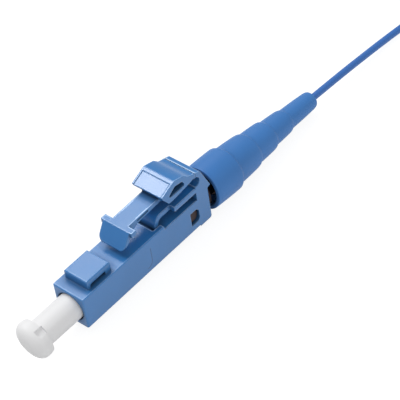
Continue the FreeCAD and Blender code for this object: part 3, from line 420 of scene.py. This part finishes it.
def body_plastic():
    # With an edge width the body gets the painted edge highlight and painted corner shade.
    material = moulded_plastic(
        "body plastic", settings().body_colour, roughness=0.24, spread=0.1, cloud=260.0,
        grain=8000.0, depth=0.000012, ior=1.56, edge=settings().edge_round)
    tree = material.node_tree
    shader = tree.nodes["Principled BSDF"]
    line = place_group(tree, shared_group("witness line", witness_line_group))
    before = shader.inputs["Base Color"].links[0].from_socket
    shown = maths(tree, "MULTIPLY", line.outputs["Line"], LINE_STRENGTH)
    marked = mixed(tree, shown, before, scaled(settings().body_colour, LINE_DARK))
    tree.links.new(marked, shader.inputs["Base Color"])
    return material


def boot_plastic():
    # With an edge width the boot gets painted corner shade and a faint painted edge highlight.
    return moulded_plastic(
        "boot plastic", settings().boot_colour, roughness=0.52, spread=0.1, cloud=180.0,
        grain=6000.0, depth=0.000008, ior=1.5, dark=0.9, light=1.1,
        edge=settings().edge_round, edge_highlight=0.02)


def fibre_coating():
    return moulded_plastic(
        "fibre coating", settings().fibre_colour, roughness=0.42, spread=0.08, cloud=90.0,
        grain=5000.0, depth=0.000006, dark=0.94, light=1.06)


def cap_plastic():
    material = moulded_plastic(
        "cap plastic", settings().cap_colour, roughness=0.5, spread=0.08, cloud=220.0,
        grain=7000.0, depth=0.00001, dark=0.97, light=1.02)
    shader = material.node_tree.nodes["Principled BSDF"]
    shader.inputs["Subsurface Weight"].default_value = 0.12
    shader.inputs["Subsurface Radius"].default_value = (1.0, 1.0, 1.0)
    shader.inputs["Subsurface Scale"].default_value = 0.0008
    return material


def turned_metal(name, colour, roughness):
    """Turned metal: fine rings round the plug's axis."""
    material, tree, shader = new_material(name)
    where = object_coords(tree)
    split = tree.nodes.new("ShaderNodeSeparateXYZ")
    tree.links.new(where, split.inputs[0])
    join = tree.nodes.new("ShaderNodeCombineXYZ")
    tree.links.new(split.outputs["X"], join.inputs["X"])
    rings = noise(tree, join.outputs[0], RING_SCALE, detail=3.0)
    stain = noise(tree, where, STAIN_SCALE, detail=3.0)
    tree.links.new(shaded_colour(tree, colour, stain, dark=0.72, light=1.2),
                   shader.inputs["Base Color"])
    rough = maths(tree, "ADD", roughness - RING_SPREAD / 2,
                  maths(tree, "MULTIPLY", rings, RING_SPREAD))
    tree.links.new(rough, shader.inputs["Roughness"])
    shader.inputs["Metallic"].default_value = 1.0
    bump(tree, shader, rings, strength=0.3, distance=0.000008)
    return material


def ceramic():
    return moulded_plastic(
        "polished ceramic", settings().ceramic_colour, roughness=0.14, spread=0.04,
        cloud=500.0, grain=12000.0, depth=0.000002, ior=2.0, dark=0.98, light=1.01)


def clear_glass():
    material, tree, shader = new_material("glass fibre")
    shader.inputs["Base Color"].default_value = settings().glass_colour
    shader.inputs["Roughness"].default_value = 0.05
    shader.inputs["Transmission Weight"].default_value = 1.0
    return material


def hook_tape():
    """Black hook-and-loop tape with a woven pile."""
    material, tree, shader = new_material("hook tape")
    where = object_coords(tree)
    pile = noise(tree, where, PILE_SCALE, detail=4.0, roughness=0.7)
    weave = tree.nodes.new("ShaderNodeTexWave")
    weave.wave_type = "BANDS"
    weave.bands_direction = "X"
    weave.inputs["Scale"].default_value = WEAVE_SCALE
    weave.inputs["Distortion"].default_value = 2.0
    weave.inputs["Detail"].default_value = 2.0
    tree.links.new(where, weave.inputs["Vector"])
    height = maths(tree, "ADD", maths(tree, "MULTIPLY", pile, PILE_SHARE),
                   maths(tree, "MULTIPLY", weave.outputs["Fac"], 1.0 - PILE_SHARE))
    tree.links.new(shaded_colour(tree, settings().tape_colour, height, dark=0.6, light=1.9),
                   shader.inputs["Base Color"])
    shader.inputs["Roughness"].default_value = 0.9
    bump(tree, shader, height, strength=0.7, distance=0.00012)
    return material


def dress(node, material):
    """Gives a CAD node its material."""
    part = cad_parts[node]
    for slot in part.material_slots:
        slot.material = material
    if not part.material_slots:
        raise RuntimeError("%s has no material slot" % node)


# ---------------------------------------------------------------- mesh helpers

def finished(mesh_builder, name, material, body, slot, *nodes):
    """Turns a bmesh into a piece that rides on a body and stands for CAD nodes."""
    mesh = bpy.data.meshes.new(name)
    bmesh.ops.remove_doubles(mesh_builder, verts=mesh_builder.verts, dist=MERGE)
    bmesh.ops.recalc_face_normals(mesh_builder, faces=mesh_builder.faces)
    mesh_builder.to_mesh(mesh)
    mesh_builder.free()
    mesh.materials.append(material)
    piece = bpy.data.objects.new(name, mesh)
    bpy.context.scene.collection.objects.link(piece)
    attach(piece, body)
    if nodes:
        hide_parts(*nodes)
    return piece


def shade_smooth(mesh):
    mesh.polygons.foreach_set("use_smooth", [True] * len(mesh.polygons))


def smooth_shaded(piece, angle):
    """Smooth shading that breaks at edges sharper than the angle, in degrees."""
    shade_smooth(piece.data)
    piece.data.set_sharp_from_angle(angle=math.radians(angle))


def turned_profile(profile, steps):
    """Spins (along, radius) points, given in metres, about the X axis."""
    shape = bmesh.new()
    verts = [shape.verts.new((along, 0.0, radius)) for along, radius in profile]
    edges = [shape.edges.new(pair) for pair in zip(verts, verts[1:])]
    bmesh.ops.spin(shape, geom=verts + edges, cent=(0, 0, 0), axis=(1, 0, 0),
                   angle=2 * math.pi, steps=steps, use_merge=True, use_duplicate=False)
    bmesh.ops.remove_doubles(shape, verts=shape.verts, dist=MERGE_TURNED)
    return shape


def arc(centre, radius, start, end, count):
    """Points on a part of a circle, angles in degrees."""
    points = []
    for step in range(count + 1):
        angle = math.radians(start + (end - start) * step / count)
        points.append((centre[0] + radius * math.cos(angle),
                       centre[1] + radius * math.sin(angle)))
    return points


# ---------------------------------------------------------------- plug body and lever

def flat_regions(shape):
    """Groups the faces that lie in one plane: a region index for each face, and areas."""
    region = {}
    areas = []
    for seed in shape.faces:
        if seed in region:
            continue
        region[seed] = len(areas)
        area = 0.0
        queue = [seed]
        while queue:
            face = queue.pop()
            area += face.calc_area()
            for edge in face.edges:
                for other in edge.link_faces:
                    if other not in region and other.normal.dot(seed.normal) > FLAT_COSINE:
                        region[other] = len(areas)
                        queue.append(other)
        areas.append(area)
    return region, areas


def even_normals(shape):
    """Corner normals in which a large flat face keeps its own direction."""
    limit = math.cos(math.radians(SMOOTH_ANGLE))
    region, areas = flat_regions(shape)
    normals = []
    for face in shape.faces:
        for vert in face.verts:
            near = {region[other]: other.normal for other in vert.link_faces
                    if other.normal.dot(face.normal) > limit}
            total = Vector()
            for index, normal in near.items():
                total += normal * areas[index]
            normals.append(total.normalized())
    return normals


def smooth_copy(node, name, material, body):
    """Stands for a CAD node: its shape with merged corners and smooth shading."""
    shape = bmesh.new()
    shape.from_mesh(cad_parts[node].data)
    bmesh.ops.remove_doubles(shape, verts=shape.verts, dist=MERGE)
    bmesh.ops.dissolve_degenerate(shape, edges=shape.edges, dist=MERGE)
    bmesh.ops.recalc_face_normals(shape, faces=shape.faces)
    shape.normal_update()
    normals = even_normals(shape)
    piece = finished(shape, name, material, body, node, node)
    mesh = piece.data
    shade_smooth(mesh)
    if len(mesh.loops) != len(normals):
        raise RuntimeError("%s lost corners" % name)
    mesh.normals_split_custom_set(normals)
    return piece


class CONNECTOR_OT_plug_body(bpy.types.Operator):
    """Plastic of the plug body and the latch lever"""
    bl_idname = "connector.plug_body"
    bl_label = "Plug body and latch"

    def execute(self, context):
        material = body_plastic()
        smooth_copy("housing", "plug_shell", material, "plug")
        smooth_copy("latch_lever", "latch_blade", material, "lever")
        return {"FINISHED"}


class CONNECTOR_OT_metal_parts(bpy.types.Operator):
    """Ferrule, flange, backbone and guide tube"""
    bl_idname = "connector.metal_parts"
    bl_label = "Inner parts"

    def execute(self, context):
        # Brass painted dark, as painted shade for the inside of the plug.
        brass = turned_metal("turned brass", settings().shaded_brass_colour, roughness=0.42)
        dress("backbone", brass)
        dress("ferrule_flange", brass)
        dress("ferrule", ceramic())
        dress("bare_fibre", clear_glass())
        dress("guide_tube", cap_plastic())
        return {"FINISHED"}


class CONNECTOR_OT_spring(bpy.types.Operator):
    """Spring behind the ferrule"""
    bl_idname = "connector.spring"
    bl_label = "Spring"

    def execute(self, context):
        steel = turned_metal("spring steel", settings().steel_colour, roughness=0.3)
        wire = smooth_copy("coil_spring", "spring_wire", steel, "plug")
        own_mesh(wire)
        return {"FINISHED"}


# ---------------------------------------------------------------- boot

# Boot stages, front to rear, in millimetres: radius at the start, radius at the end, reach.
BOOT_STAGES = [
    (2.8, 2.84, 4.4),
    (2.52, 2.29, 8.35),
    (2.08, 1.91, 11.75),
    (1.7, 1.51, 15.1),
    (1.34, 1.12, 20.2),
]
# Outside: length of the fall between stages, swelling of a stage, rounding of both ends.
BOOT_STEP = 0.55
BOOT_SWELL = 0.03
BOOT_LIP = 2.68
BOOT_LIP_ROUND = 0.12
BOOT_END_ROUND = 0.42
# Inside: radius of the mouth, the grip, the throat and the exit, and where each ends.
BOOT_MOUTH = 2.32
BOOT_MOUTH_DEPTH = 1.4
BOOT_MOUTH_TAPER = 0.3
BOOT_GRIP = 1.75
BOOT_GRIP_END = 3.9
BOOT_THROAT = 1.0
BOOT_TAPER_END = 9.5
BOOT_EXIT_BORE = 0.52
# Points along a stage or a fall, faces round the boot, and its sharpest smooth edge.
BOOT_POINTS = 8
BOOT_FACES = 128
BOOT_SMOOTH = 40.0


def boot_profile():
    """Outline of the boot from its inner rim, over the stages, and back through the bore."""
    points = [(0.0, BOOT_MOUTH), (0.0, BOOT_LIP)]
    points += arc((BOOT_LIP_ROUND, BOOT_LIP), BOOT_LIP_ROUND, 180, 90, 3)
    front = 0.0
    for (start, end, reach), after in zip(BOOT_STAGES, BOOT_STAGES[1:] + [None]):
        length = reach - front
        for step in range(1, BOOT_POINTS):
            share = step / BOOT_POINTS
            swell = BOOT_SWELL * math.sin(math.pi * share)
            points.append((front + length * share, start + (end - start) * share + swell))
        if after is None:
            points += arc((reach - BOOT_END_ROUND, end - BOOT_END_ROUND), BOOT_END_ROUND,
                          88, 0, BOOT_POINTS)
        else:
            for step in range(BOOT_POINTS + 1):
                share = step / BOOT_POINTS
                fall = (1 - math.cos(math.pi * share)) / 2
                points.append((reach + BOOT_STEP * (share - 0.5),
                               end + (after[0] - end) * fall))
        front = reach
    points += [
        (front, BOOT_EXIT_BORE), (BOOT_TAPER_END, BOOT_EXIT_BORE),
        (BOOT_GRIP_END, BOOT_THROAT), (BOOT_GRIP_END, BOOT_GRIP),
        (BOOT_MOUTH_DEPTH, BOOT_GRIP), (BOOT_MOUTH_DEPTH - BOOT_MOUTH_TAPER, BOOT_MOUTH),
        (0.0, BOOT_MOUTH)]
    return [(along * MM, radius * MM) for along, radius in points]


class CONNECTOR_OT_boot(bpy.types.Operator):
    """Stepped strain relief boot"""
    bl_idname = "connector.boot"
    bl_label = "Boot"

    def execute(self, context):
        shape = turned_profile(boot_profile(), BOOT_FACES)
        turn = Matrix.Rotation(settings().boot_droop, 4, "Y")
        place = Matrix.Translation((settings().boot_front, 0, 0))
        bmesh.ops.transform(shape, matrix=place @ turn, verts=shape.verts)
        piece = finished(shape, "boot_shell", boot_plastic(), "plug", "boot", "boot")
        smooth_shaded(piece, BOOT_SMOOTH)
        return {"FINISHED"}


# ---------------------------------------------------------------- dust cap

class CONNECTOR_OT_dust_cap(bpy.types.Operator):
    """Push-on dust cap with its domed, two-eared head"""
    bl_idname = "connector.dust_cap"
    bl_label = "Dust cap"

    def execute(self, context):
        smooth_copy("dust_cap", "cap_moulding", cap_plastic(), "cap")
        return {"FINISHED"}


# ---------------------------------------------------------------- hank tie

TAPE_THICK = 0.00045
TAPE_EDGE = 0.00012
TAPE_CORNER = 0.0013
# Steps round each corner of the band, and its sharpest smooth edge.
TAPE_TURN = 8
TAPE_SMOOTH = 35.0
# The free end starts on the top, near the -Y side, and goes over the +Y side.
LAP_START = 0.0016
LAP_DROP = 0.0031


def band_path(corner):
    """Points and outward directions round the band's inside, seen along the plug's axis."""
    sides = [(TIE_HIGH.y, TIE_HIGH.z, 0), (TIE_LOW.y, TIE_HIGH.z, 90),
             (TIE_LOW.y, TIE_LOW.z, 180), (TIE_HIGH.y, TIE_LOW.z, 270)]
    path = []
    for across, up, start in sides:
        middle = (across - math.copysign(corner, across - HANK_LOW.y - corner),
                  up - math.copysign(corner, up))
        for point in arc(middle, corner - TAPE_THICK, start, start + 90, TAPE_TURN):
            out = Vector((0.0, point[0] - middle[0], point[1] - middle[1])).normalized()
            path.append((Vector((0.0, point[0], point[1])), out))
    return path


def tape(path, low, high, lift, closed):
    """A strip of tape along a path, from low to high across it, lifted off it."""
    top = lift + TAPE_THICK
    section = [(low, lift), (low, top - TAPE_EDGE), (low + TAPE_EDGE, top),
               (high - TAPE_EDGE, top), (high, top - TAPE_EDGE), (high, lift)]
    shape = bmesh.new()
    rows = [[shape.verts.new(point + out * rise + Vector((along, 0, 0)))
             for along, rise in section] for point, out in path]
    pairs = list(zip(rows, rows[1:] + rows[:1]))
    for row, after in pairs if closed else pairs[:-1]:
        for index in range(len(section)):
            shape.faces.new((row[index], row[index - 1], after[index - 1], after[index]))
    if not closed:
        shape.faces.new(rows[0])
        shape.faces.new(rows[-1])
    return shape


class CONNECTOR_OT_hank_tie(bpy.types.Operator):
    """Hook-and-loop band round the hank, its end lapped over"""
    bl_idname = "connector.hank_tie"
    bl_label = "Hank tie"

    def execute(self, context):
        path = band_path(TAPE_CORNER)
        material = hook_tape()
        band = finished(tape(path, TIE_LOW.x, TIE_HIGH.x, 0.0, True), "tie_band", material,
                        "plug", "hank_tie", "hank_tie")
        smooth_shaded(band, TAPE_SMOOTH)
        height = TIE_HIGH.z - TAPE_THICK
        start = Vector((0.0, TIE_LOW.y + LAP_START, height))
        end = Vector((0.0, TIE_HIGH.y - TAPE_THICK, TIE_HIGH.z - LAP_DROP))
        lap = [(end, Vector((0, 1, 0)))] + path[:TAPE_TURN + 1] + [(start, Vector((0, 0, 1)))]
        flap = finished(tape(lap, TIE_LOW.x, TIE_HIGH.x, TAPE_THICK, False), "tie_flap",
                        material, "plug", "hank_tie")
        smooth_shaded(flap, TAPE_SMOOTH)
        return {"FINISHED"}


# ---------------------------------------------------------------- fibre and hank

# Route of the free fibre behind the boot; the last point lies on the hank's outer turn.
PIGTAIL_ROUTE = [
    (0.0470, 0.0, -0.00183),
    (0.0521, -0.00008, -0.00218),
    (0.0573, -0.00025, -0.0025),
    (0.0625, -0.00075, -0.00266),
    (0.0676, -0.00175, -0.00226),
]
BOOT_LENGTH = BOOT_STAGES[-1][2] * MM
HANK_COLUMNS = 3
HANK_ROWS = 7
# At the folds, control points stand a little outside, because the curve cuts inside them.
FOLD_STEPS = 4
FOLD_OUTSIDE = 1 / 0.925


def boot_exit():
    """Where the fibre leaves the boot."""
    droop = settings().boot_droop
    return Vector((settings().boot_front + BOOT_LENGTH * math.cos(droop), 0.0,
                   -BOOT_LENGTH * math.sin(droop)))


def half_turn(centre, middle, radius, height, start):
    """Control points round one end of a turn of the hank, from the angle it starts at."""
    points = []
    for step in range(1, FOLD_STEPS):
        angle = start + math.pi * step / FOLD_STEPS
        points.append((centre + radius * FOLD_OUTSIDE * math.cos(angle),
                       middle + radius * FOLD_OUTSIDE * math.sin(angle), height))
    return points


def hank_points():
    """Control points of the coiled fibre, row by row from the bottom, outside first."""
    thick = settings().fibre_diameter
    outer = (HANK_HIGH.y - HANK_LOW.y) / 2 - thick / 2
    middle = (HANK_HIGH.y + HANK_LOW.y) / 2
    front = HANK_LOW.x + thick / 2 + outer
    rear = HANK_HIGH.x - thick / 2 - outer
    third = (rear - front) / 3
    bottom = HANK_LOW.z + thick / 2
    turns = []
    for row in range(HANK_ROWS):
        columns = range(HANK_COLUMNS) if row % 2 == 0 else reversed(range(HANK_COLUMNS))
        turns += [(outer - column * thick, bottom + row * thick) for column in columns]
    # The top row is one turn short.
    turns = turns[:-1]
    points = []
    for (radius, height), after in zip(turns, turns[1:] + [None]):
        # The run on the -Y side leads back; the rise to the next row lies on the +Y side.
        points += [(along, middle - radius, height)
                   for along in (front, front + third, rear - third, rear)]
        points += half_turn(rear, middle, radius, height, -math.pi / 2)
        points += [(along, middle + radius, height) for along in (rear, rear - third)]
        if after is None:
            points.append((front + third, middle + radius, height))
        else:
            points += [(along, middle + after[0], after[1]) for along in (front + third, front)]
            points += half_turn(front, middle, after[0], after[1], math.pi / 2)
    return [Vector(point) for point in points]


def fibre_curve(name, points, material):
    """A round fibre along a smooth line through its control points."""
    curve = bpy.data.curves.new(name, "CURVE")
    curve.dimensions = "3D"
    line = curve.splines.new("NURBS")
    line.points.add(len(points) - 1)
    for target, point in zip(line.points, points):
        target.co = (point[0], point[1], point[2], 1.0)
    line.order_u = 3
    line.use_endpoint_u = True
    curve.resolution_u = 6
    curve.bevel_depth = settings().fibre_diameter / 2
    curve.bevel_resolution = 5
    curve.use_fill_caps = True
    curve.materials.append(material)
    piece = bpy.data.objects.new(name, curve)
    bpy.context.scene.collection.objects.link(piece)
    return piece


class CONNECTOR_OT_pigtail(bpy.types.Operator):
    """Free fibre behind the boot and its tied hank"""
    bl_idname = "connector.pigtail"
    bl_label = "Fibre and hank"

    def execute(self, context):
        coating = fibre_coating()
        dress("buffered_fibre", coating)
        points = [boot_exit()] + [Vector(point) for point in PIGTAIL_ROUTE]
        points += hank_points()
        piece = fibre_curve("pigtail_fibre", points, coating)
        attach(piece, "plug")
        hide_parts("pigtail", "fibre_hank")
        return {"FINISHED"}


# ---------------------------------------------------------------- stage

CAMERA_AZIMUTH = -43.1
CAMERA_HEIGHT = 44.13
CAMERA_ROLL = -9.22
CAMERA_DISTANCE = 0.2
# Where the middle of the view passes the plug's front, to the right of it and above it.
CAMERA_RIGHT = 0.01392
CAMERA_UP = 0.01146
CAMERA_LENS = 167.2

# Where the lamps aim, and each lamp: name, place from there, side, setting with its power.
LAMP_AIM = Vector((0.02, 0.0, 0.0))
LAMPS = [
    ("key", (-0.094, 0.286, 0.462), 0.152, "key_watts"),
    ("back", (0.17, 0.286, 0.438), 0.22, "back_watts"),
    ("fill", (-0.075, -0.44, 0.225), 0.4, "fill_watts"),
]

# What the floor adds of its own where it is seen, straight, mirrored or through glass, and
# how much of its colour stays there, which keeps the shadow light.
FLOOR_GLOW = 0.87
FLOOR_KEEPS = 0.45


def camera_axes():
    """Right, up and forward of the camera."""
    turn = math.radians(CAMERA_AZIMUTH)
    height = math.radians(CAMERA_HEIGHT)
    roll = math.radians(CAMERA_ROLL)
    forward = Vector((-math.sin(turn) * math.cos(height), math.cos(turn) * math.cos(height),
                      -math.sin(height)))
    level = forward.cross(Vector((0, 0, 1))).normalized()
    upright = level.cross(forward)
    right = level * math.cos(roll) + upright * math.sin(roll)
    up = upright * math.cos(roll) - level * math.sin(roll)
    return right, up, forward


def area_lamp(name, offset, side, watts):
    """A square soft box that stands at an offset from the lamps' aim and faces it."""
    lamp = bpy.data.lights.new(name, "AREA")
    lamp.shape = "SQUARE"
    lamp.size = side
    lamp.energy = watts
    holder = bpy.data.objects.new(name, lamp)
    place = LAMP_AIM + Vector(offset)
    holder.location = place
    holder.rotation_euler = (LAMP_AIM - place).to_track_quat("-Z", "Y").to_euler()
    bpy.context.scene.collection.objects.link(holder)


def floor_material():
    """Pale floor that shows white, with the shadow kept light."""
    material, tree, shader = new_material("floor")
    shader.inputs["Roughness"].default_value = 0.9
    shader.inputs["Specular IOR Level"].default_value = 0.0
    path = tree.nodes.new("ShaderNodeLightPath")
    seen = maths(tree, "MAXIMUM", path.outputs["Is Camera Ray"],
                 maths(tree, "MAXIMUM", path.outputs["Is Glossy Ray"],
                       path.outputs["Is Transmission Ray"]))
    colour = stage_settings().floor_colour
    tree.links.new(mixed(tree, seen, colour, scaled(colour, FLOOR_KEEPS)),
                   shader.inputs["Base Color"])
    shader.inputs["Emission Color"].default_value = (1, 1, 1, 1)
    tree.links.new(maths(tree, "MULTIPLY", seen, FLOOR_GLOW),
                   shader.inputs["Emission Strength"])
    return material


class CONNECTOR_OT_stage(bpy.types.Operator):
    """Floor, lamps, sky and camera"""
    bl_idname = "connector.stage"
    bl_label = "Stage"

    def execute(self, context):
        scene = context.scene
        scene.view_settings.view_transform = "Standard"
        right, up, forward = camera_axes()
        camera = bpy.data.cameras.new("camera")
        camera.lens = CAMERA_LENS
        camera.sensor_width = 36.0
        camera.clip_start = 0.01
        camera.clip_end = 20.0
        holder = bpy.data.objects.new("camera", camera)
        scene.collection.objects.link(holder)
        place = -forward * CAMERA_DISTANCE + right * CAMERA_RIGHT + up * CAMERA_UP
        holder.matrix_world = Matrix.Translation(place) @ Matrix(
            (right, up, -forward)).transposed().to_4x4()
        scene.camera = holder

        half = stage_settings().floor_size / 2
        shape = bmesh.new()
        bmesh.ops.create_grid(shape, x_segments=1, y_segments=1, size=half)
        bmesh.ops.translate(shape, vec=(0, 0, FLOOR_HEIGHT), verts=shape.verts)
        mesh = bpy.data.meshes.new("floor")
        shape.to_mesh(mesh)
        shape.free()
        mesh.materials.append(floor_material())
        floor = bpy.data.objects.new("floor", mesh)
        scene.collection.objects.link(floor)

        for name, offset, side, power in LAMPS:
            area_lamp(name, offset, side, getattr(stage_settings(), power))

        world = bpy.data.worlds.new("sky")
        world.use_nodes = True
        scene.world = world
        tree = world.node_tree
        sky = tree.nodes["Background"]
        sky.inputs["Color"].default_value = (1, 1, 1, 1)
        path = tree.nodes.new("ShaderNodeLightPath")
        level = stage_settings().sky_strength
        seen = maths(tree, "MULTIPLY", path.outputs["Is Camera Ray"], 1.0 - level)
        tree.links.new(maths(tree, "ADD", level, seen), sky.inputs["Strength"])
        return {"FINISHED"}


# ---------------------------------------------------------------- panel and registration

OPERATORS = [
    CONNECTOR_OT_stage,
    CONNECTOR_OT_hank_tie,
    CONNECTOR_OT_pigtail,
    CONNECTOR_OT_plug_body,
    CONNECTOR_OT_metal_parts,
    CONNECTOR_OT_spring,
    CONNECTOR_OT_boot,
    CONNECTOR_OT_dust_cap,
]


class CONNECTOR_PT_panel(bpy.types.Panel):
    """The connector's pieces, settings and stage"""
    bl_label = "Fibre connector"
    bl_idname = "CONNECTOR_PT_panel"
    bl_space_type = "VIEW_3D"
    bl_region_type = "UI"
    bl_category = "Connector"

    def draw(self, context):
        for group in (context.scene.connector_settings, context.scene.connector_stage):
            for name in group.__annotations__:
                self.layout.prop(group, name)
        for operator in OPERATORS:
            self.layout.operator(operator.bl_idname)


CLASSES = [ConnectorSettings, StageSettings] + OPERATORS + [CONNECTOR_PT_panel]


def register():
    for item in CLASSES:
        bpy.utils.register_class(item)
    bpy.types.Scene.connector_settings = bpy.props.PointerProperty(type=ConnectorSettings)
    bpy.types.Scene.connector_stage = bpy.props.PointerProperty(type=StageSettings)


def unregister():
    del bpy.types.Scene.connector_stage
    del bpy.types.Scene.connector_settings
    for item in reversed(CLASSES):
        bpy.utils.unregister_class(item)


def main():
    register()
    for operator in OPERATORS:
        family, name = operator.bl_idname.split(".")
        getattr(getattr(bpy.ops, family), name)()


if __name__ == "__main__":
    main()
